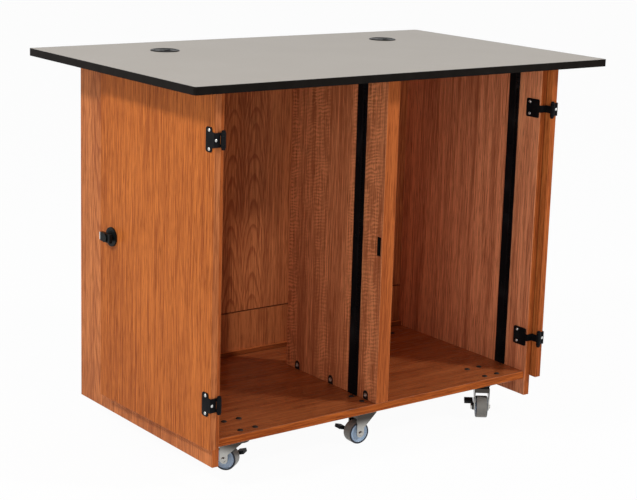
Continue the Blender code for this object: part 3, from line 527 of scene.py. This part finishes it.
def punched(name, outline, holes, low, high, material):
    """A flat sheet in the XZ plane with holes, from low to high along Y."""
    curve = bpy.data.curves.new(name, "CURVE")
    curve.dimensions = "2D"
    curve.fill_mode = "BOTH"
    curve.extrude = (high - low) / 2
    for path in [outline, *holes]:
        spline = curve.splines.new("POLY")
        spline.points.add(len(path) - 1)
        for point, (across, up) in zip(spline.points, path):
            point.co = (across, up, 0.0, 1.0)
        spline.use_cyclic_u = True
    sketch = bpy.data.objects.new(name, curve)
    bpy.context.scene.collection.objects.link(sketch)
    mesh = evaluated(sketch)
    form = bmesh.new()
    form.from_mesh(mesh)
    bpy.data.meshes.remove(mesh)
    bmesh.ops.remove_doubles(form, verts=form.verts, dist=0.00001)
    for corner in form.verts:
        across, up, through = corner.co
        corner.co = (across, (low + high) / 2 + through, up)
    return shown(name, form, material)


def circle(centre, radius, sides):
    """Points round a circle."""
    turns = [2 * math.pi * step / sides for step in range(sides)]
    return [(centre[0] + radius * math.cos(turn), centre[1] + radius * math.sin(turn)) for turn in turns]


rack_unit = 0.04445
unit_offsets = (0.00635, 0.022225, 0.0381)
rail_sheet = 0.002
tapped_radius = 0.0029
tapped_from_toe = 0.0068
rail_screw_back = 0.024
rail_screw_shares = (0.03, 0.27, 0.5, 0.73, 0.97)
rail_screws = []
for label, inward in (
    ("left_bay_outer_rail", 1),
    ("left_bay_inner_rail", -1),
    ("right_bay_inner_rail", 1),
    ("right_bay_outer_rail", -1),
):
    low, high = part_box(label)
    wall = low.x if inward > 0 else high.x
    toe = high.x if inward > 0 else low.x
    hole_x = toe - inward * tapped_from_toe
    units = int((high.z - low.z) / rack_unit)
    start = low.z + (high.z - low.z - units * rack_unit) / 2
    holes = []
    for unit in range(units):
        for offset in unit_offsets:
            holes.append(circle((hole_x, start + unit * rack_unit + offset), tapped_radius, 12))
    outline = [(low.x, low.z), (high.x, low.z), (high.x, high.z), (low.x, high.z)]
    face = punched(label + "_face", outline, holes, low.y, low.y + rail_sheet, rail_coat)
    form = bmesh.new()
    near = Vector((wall, low.y + rail_sheet, low.z))
    far = Vector((wall + inward * rail_sheet, high.y, high.z))
    size = Matrix.Diagonal((abs(far.x - near.x), far.y - near.y, far.z - near.z, 1.0))
    bmesh.ops.create_cube(form, size=1.0, matrix=Matrix.Translation((near + far) / 2) @ size)
    side = shown(label + "_side", form, rail_coat)
    for piece in (face, side):
        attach(piece, "cabinet")
    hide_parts(label)
    for share in rail_screw_shares:
        level = low.z + (high.z - low.z) * share
        place = Vector((wall + inward * rail_sheet, low.y + rail_screw_back, level))
        rail_screws.append(aimed(place, (inward, 0, 0), share * 9))
copies("rail_screws", cross_head(0.0042, 0.0022), rail_screws, rail_coat, "cabinet")

# Top: particle board faced in a warm grey laminate with a faint speckle,
# wrapped all round in a black plastic edge band pressed on flush.
laminate, tree, shader = new_material("speckled_laminate")
place = put(tree, "ShaderNodeTexCoord").outputs["Object"]
speck = noise(tree, place, 900.0, 2.0, 0.7)
cloud = noise(tree, place, 5.0, 3.0)
ground = mixed(tree, cloud, (0.355, 0.312, 0.262, 1.0), (0.405, 0.362, 0.312, 1.0))
flecked = mixed(tree, ramp(tree, speck, 0.55, 0.75), ground, (0.30, 0.26, 0.225, 1.0))
tree.links.new(flecked, shader.inputs["Base Color"])
tree.links.new(maths(tree, "MULTIPLY_ADD", speck, 0.12, 0.36), shader.inputs["Roughness"])
shader.inputs["Specular IOR Level"].default_value = 0.36
bumped(tree, shader, speck, 0.12, 0.0002)
finish_node("top_board", laminate)
edge_plastic = textured("edge_band_plastic", (0.006, 0.0045, 0.0035), 0.38, 1400.0, 0.025)
finish_node("top_edge_band", edge_plastic)

# Cord grommets: black moulded sleeves pressed into the top, each with a turning cap.
# The cap's notch lets cords through, and a thumb bar across it turns it shut.
grommet_plastic = textured("grommet_plastic", (0.005, 0.005, 0.005), 0.34, 1800.0, 0.04)
flange_reach = 0.0095
flange_proud = 0.0025
flange_let_in = 0.0008
sleeve_wall = 0.0025
for label in ("left", "right"):
    low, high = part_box("grommet_sleeve_" + label)
    centre = (low + high) / 2
    rim = (high.x - low.x) / 2
    bore = rim - flange_reach
    seat = high.z - flange_proud - flange_let_in
    profile = [
        (bore, high.z - 0.0004),
        (bore + 0.0008, high.z),
        (rim - 0.0035, high.z),
        (rim - 0.0016, high.z - 0.0005),
        (rim - 0.0004, high.z - 0.0013),
        (rim, seat),
        (bore + sleeve_wall, seat),
        (bore + sleeve_wall, low.z),
        (bore, low.z),
    ]
    form = bmesh.new()
    lathe(form, profile, Matrix.Translation((centre.x, centre.y, 0.0)), 64)
    sleeve = shown("grommet_ring_" + label, form, grommet_plastic)
    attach(sleeve, "cabinet")
    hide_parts("grommet_sleeve_" + label)
    finish_node("grommet_cap_" + label, grommet_plastic)

# Doors: 19 mm oak-veneered boards hung on wrap-round hinges, folded right back along the sides,
# so that the face turned outwards here is the door's inside.
door_lipping = oak(
    "oak_door_lipping", shift=(0.2, 0.7, 0.1), tint=(1.05, 1.2, 2.2), streaks=0.8, bands=0.5
)
left_door_oak = oak(
    "oak_left_door", shift=(0.31, 0.05, -0.2), tint=(1.0, 1.02, 1.18), streaks=1.15, bands=0.4
)
right_door_oak = oak("oak_right_door", shift=(0.05, 0.42, 0.3), tint=(1.1, 1.25, 1.8))
finish_node("left_door", left_door_oak, door_lipping)
finish_node("right_door", right_door_oak, lipping_oak)

# Wrap-round hinges: pressed steel wings in black, one screwed inside the side panel, its pin in front,
# the other wrapped round the door's edge with a bright adjusting screw.
# Bright cross-head screws hold both wings.
hinge_coat = black_coat("hinge_coat")
hinge_screw = cross_head(0.0042, 0.0016)
adjusting_screw = cross_head(0.0036, 0.0008)
rest_angle = math.radians(268.5)
panel_outside = 0.528
pivot_y = -0.329
# From the pivot: inwards, backwards, and above or below the hinge's middle
frame_screw = (0.0213, 0.065, 0.016)
door_screw = (0.025, 0.0233, 0.0223)
adjuster = (0.0042, 0.0175)
frame_screws = []
door_screws = {"left": [], "right": []}
adjusters = {"left": [], "right": []}
for label, side in (("left", -1), ("right", 1)):
    pivot = Matrix.Translation((side * panel_outside, pivot_y, 0.0))
    folded = pivot @ Matrix.Rotation(side * rest_angle, 4, "Z")
    for level in ("upper", "lower"):
        finish_node("hinge_frame_" + label + "_" + level, hinge_coat)
        finish_node("hinge_wing_" + label + "_" + level, hinge_coat)
        low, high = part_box("hinge_frame_" + label + "_" + level)
        height = (low.z + high.z) / 2
        for up in (-1, 1):
            inward, back, apart = frame_screw
            place = pivot @ Vector((-side * inward, back, height + up * apart))
            frame_screws.append(aimed(place, (-side, 0, 0), 0.4 * up))
            inward, back, apart = door_screw
            place = folded @ Vector((-side * inward, back, height + up * apart))
            facing = folded.to_3x3() @ Vector((0, 1, 0))
            door_screws[label].append(aimed(place, facing, 0.7 * up))
        inward, back = adjuster
        place = folded @ Vector((-side * inward, back, height))
        adjusters[label].append(aimed(place, folded.to_3x3() @ Vector((side, 0, 0)), 0.3))
copies("hinge_frame_screws", hinge_screw, frame_screws, screw_steel, "cabinet")
for label in ("left", "right"):
    body = label + "_door"
    copies("hinge_door_screws_" + label, hinge_screw, door_screws[label], screw_steel, body)
    copies("hinge_adjusters_" + label, adjusting_screw, adjusters[label], screw_steel, body)

# Door locks: a black flange and body on the door's inside, a bright bolt in a guide towards the edge,
# and a collar with the key plug on the face.
lock_black = textured("lock_black", (0.004, 0.005, 0.005), 0.30, 1500.0, 0.07)
bolt_chrome = bright_metal("bolt_chrome", (0.80, 0.80, 0.79), 0.10, 0.26, 90.0)
for label in ("left", "right"):
    finish_node("lock_case_" + label, lock_black)
    finish_node("lock_bolt_" + label, bolt_chrome)
    finish_node("key_plug_" + label, bolt_chrome)

# Swivel casters: zinc-plated pressed plates and forks, darker towards the crown by painted shade,
# blue-grey moulded hubs with a grey tread pressed on, and black brake levers on the axle.
# Bolts come down through the floor into the corner plates and the front middle one.
zinc_plate = bright_metal("zinc_plate", (0.50, 0.485, 0.455), 0.12, 0.28, 120.0)
tree = zinc_plate.node_tree
shader = tree.nodes["Principled BSDF"]
place = put(tree, "ShaderNodeTexCoord").outputs["Object"]
rise = put(tree, "ShaderNodeSeparateXYZ", {"Vector": place}).outputs["Z"]
bright = shader.inputs["Base Color"].links[0].from_socket
# Painted shade: the zinc darkens towards the crown, where it sits in shade under the floor board
shade_from = 0.040
shade_full = 0.072
painted_shade_zinc = (0.060, 0.052, 0.046, 1.0)
crown_painted_shade = mixed(tree, ramp(tree, rise, shade_from, shade_full), bright, painted_shade_zinc)
tree.links.new(crown_painted_shade, shader.inputs["Base Color"])
lever_black = textured("lever_black", (0.010, 0.011, 0.012), 0.45, 1600.0)
tread_grey = textured("tread_grey", (0.170, 0.165, 0.150), 0.42, 900.0, 0.4)
wall_grey = textured("tyre_wall_grey", (0.016, 0.019, 0.028), 0.4, 900.0, 0.25)
hub_grey = textured("hub_grey", (0.28, 0.37, 0.48), 0.36, 700.0, 0.5)
bolt_steel = textured("bolt_steel", (0.020, 0.018, 0.016), 0.45, 700.0)
wheel_radius = 0.030
half_tread = 0.016
half_hub = 0.0175
tread_shoulder = 0.003
bolt_reach = (0.0365, 0.02225)
cleat_clearance = 0.01
bolt_heads = []
joint_of = {joint["child"]: joint for joint in frame["joints"]}
for label in ("front_left", "front_centre", "front_right", "rear_left", "rear_centre", "rear_right"):
    finish_node("caster_plate_" + label, zinc_plate)
    finish_node("caster_fork_" + label, zinc_plate)
    finish_node("brake_lever_" + label, lever_black)
    joint = joint_of["wheel_" + label]
    axle = aimed(joint["pos_m"], joint["axis"])
    tread = [(0.0252, half_tread - 0.0014), (0.0256, half_tread - 0.0005), (0.0268, half_tread)]
    for step in range(5):
        angle = math.radians(90 - 22.5 * step)
        radius = wheel_radius - tread_shoulder + tread_shoulder * math.cos(angle)
        tread.append((radius, half_tread - tread_shoulder + tread_shoulder * math.sin(angle)))
    tread += [(radius, -across) for radius, across in reversed(tread)]
    form = bmesh.new()
    lathe(form, tread, axle, 56)
    tyre = shown("wheel_tread_" + label, form, tread_grey)
    tyre.data.materials.append(wall_grey)
    for face in tyre.data.polygons:
        face.material_index = 1 if abs(face.normal.dot(Vector(joint["axis"]))) > 0.3 else 0
    hub = [(0.0049, half_hub), (0.0085, half_hub)]
    hub += [(0.0098, half_hub - 0.0008), (0.0108, half_hub - 0.0030)]
    hub += [(0.0190, half_hub - 0.0042), (0.0212, half_hub - 0.0030), (0.0222, half_hub - 0.0034)]
    hub += [(0.0238, half_hub - 0.0020), (0.0251, half_hub - 0.0026)]
    hub += [(radius, -across) for radius, across in reversed(hub)]
    form = bmesh.new()
    lathe(form, hub, axle, 48)
    centre = shown("wheel_hub_" + label, form, hub_grey)
    for piece in (tyre, centre):
        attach(piece, "wheel_" + label)
    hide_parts("caster_wheel_" + label)
    low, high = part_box("caster_plate_" + label)
    middle = (low + high) / 2
    along_x = high.x - low.x > high.y - low.y
    floor_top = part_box("floor_panel")[1].z
    for first in (-1, 1):
        for second in (-1, 1):
            reach_x, reach_y = bolt_reach if along_x else reversed(bolt_reach)
            spot = Vector((middle.x + first * reach_x, middle.y + second * reach_y, floor_top))
            if spot.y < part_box("rear_cleat")[0].y - cleat_clearance and label != "rear_centre":
                bolt_heads.append(aimed(spot, (0, 0, 1)))
head = bmesh.new()
dome = [(0, 0.0034), (0.003, 0.0031), (0.0058, 0.0021), (0.0075, 0.0006), (0.0077, 0), (0, 0)]
lathe(head, dome, Matrix.Identity(4), 24)
head_mesh = bpy.data.meshes.new("carriage_bolt")
head.to_mesh(head_mesh)
head.free()
copies("caster_bolt_heads", head_mesh, bolt_heads, bolt_steel, "cabinet")

# Studio: white floor that keeps a faint shadow, one lamp high at the left, one high at the front right
# and a broad weak one at the front left, a plain white surround,
# and a long lens at the photograph's angle.
form = bmesh.new()
bmesh.ops.create_grid(form, x_segments=1, y_segments=1, size=12.0)
floor_white, tree, shader = new_material("studio_white")
shader.inputs["Base Color"].default_value = (0.92, 0.92, 0.92, 1.0)
shader.inputs["Roughness"].default_value = 0.9
glow = put(tree, "ShaderNodeEmission", {"Color": (1.0, 1.0, 1.0, 1.0), "Strength": 1.0})
rays = put(tree, "ShaderNodeLightPath")
seen = maths(tree, "MAXIMUM", rays.outputs["Is Camera Ray"], rays.outputs["Is Glossy Ray"])
seen = maths(tree, "MAXIMUM", seen, rays.outputs["Is Transmission Ray"])
floor_glow = 0.96
seen = maths(tree, "MULTIPLY", seen, floor_glow)
blend = put(tree, "ShaderNodeMixShader", {0: seen, 1: shader.outputs[0], 2: glow.outputs[0]})
tree.links.new(blend.outputs[0], tree.nodes["Material Output"].inputs["Surface"])
ground = shown("studio_floor", form, floor_white)

world = bpy.data.worlds.new("studio")
bpy.context.scene.world = world
world.use_nodes = True
sky = world.node_tree
back = sky.nodes["Background"]
back.inputs["Color"].default_value = (0.95, 0.97, 1.0, 1.0)
back.inputs["Strength"].default_value = 0.32
white = put(sky, "ShaderNodeBackground", {"Color": (1.0, 1.0, 1.0, 1.0), "Strength": 1.0})
rays = put(sky, "ShaderNodeLightPath")
seen = maths(sky, "MAXIMUM", rays.outputs["Is Camera Ray"], rays.outputs["Is Glossy Ray"])
seen = maths(sky, "MAXIMUM", seen, rays.outputs["Is Transmission Ray"])
blend = put(sky, "ShaderNodeMixShader", {0: seen, 1: back.outputs[0], 2: white.outputs[0]})
sky.links.new(blend.outputs[0], sky.nodes["World Output"].inputs["Surface"])


def soft_box(name, place, target, width, power):
    """A square area lamp aimed at a point."""
    lamp = bpy.data.lights.new(name, "AREA")
    lamp.size = width
    lamp.energy = power
    thing = bpy.data.objects.new(name, lamp)
    thing.location = place
    thing.rotation_euler = (Vector(target) - Vector(place)).to_track_quat("-Z", "Y").to_euler()
    bpy.context.scene.collection.objects.link(thing)


soft_box("left_lamp", (-4.2, -0.1, 4.0), (0.0, -0.1, 0.5), 0.55, 132.0)
soft_box("right_lamp", (3.1, -3.5, 3.3), (0.0, -0.1, 0.5), 0.55, 112.0)
soft_box("fill_lamp", (-4.4, -3.6, 1.7), (0.0, -0.2, 0.5), 2.2, 46.0)

yaw = math.radians(37.505)
pitch = math.radians(12.428)
roll = math.radians(1.82)
image_width = 637.0
image_height = 500.0
focal_pixels = 1619.87
centre_x = 331.13
centre_y = 218.85
forward = Vector((math.sin(yaw) * math.cos(pitch), math.cos(yaw) * math.cos(pitch), -math.sin(pitch)))
right = Vector((math.cos(yaw), -math.sin(yaw), 0.0))
upward = right.cross(forward)
image_right = math.cos(roll) * right + math.sin(roll) * upward
image_up = math.cos(roll) * upward - math.sin(roll) * right
lens = bpy.data.cameras.new("photo_lens")
lens.sensor_width = 36.0
lens.lens = focal_pixels * lens.sensor_width / image_width
lens.shift_x = (image_width / 2 - centre_x) / image_width
lens.shift_y = (centre_y - image_height / 2) / image_width
lens.clip_end = 60.0
camera = bpy.data.objects.new("photo_camera", lens)
axes = Matrix((image_right, image_up, -forward)).transposed().to_4x4()
camera_place = (-2.5642, -3.3976, 1.4929)
camera.matrix_world = Matrix.Translation(camera_place) @ axes
bpy.context.scene.collection.objects.link(camera)
bpy.context.scene.camera = camera
bpy.context.scene.view_settings.view_transform = "Standard"
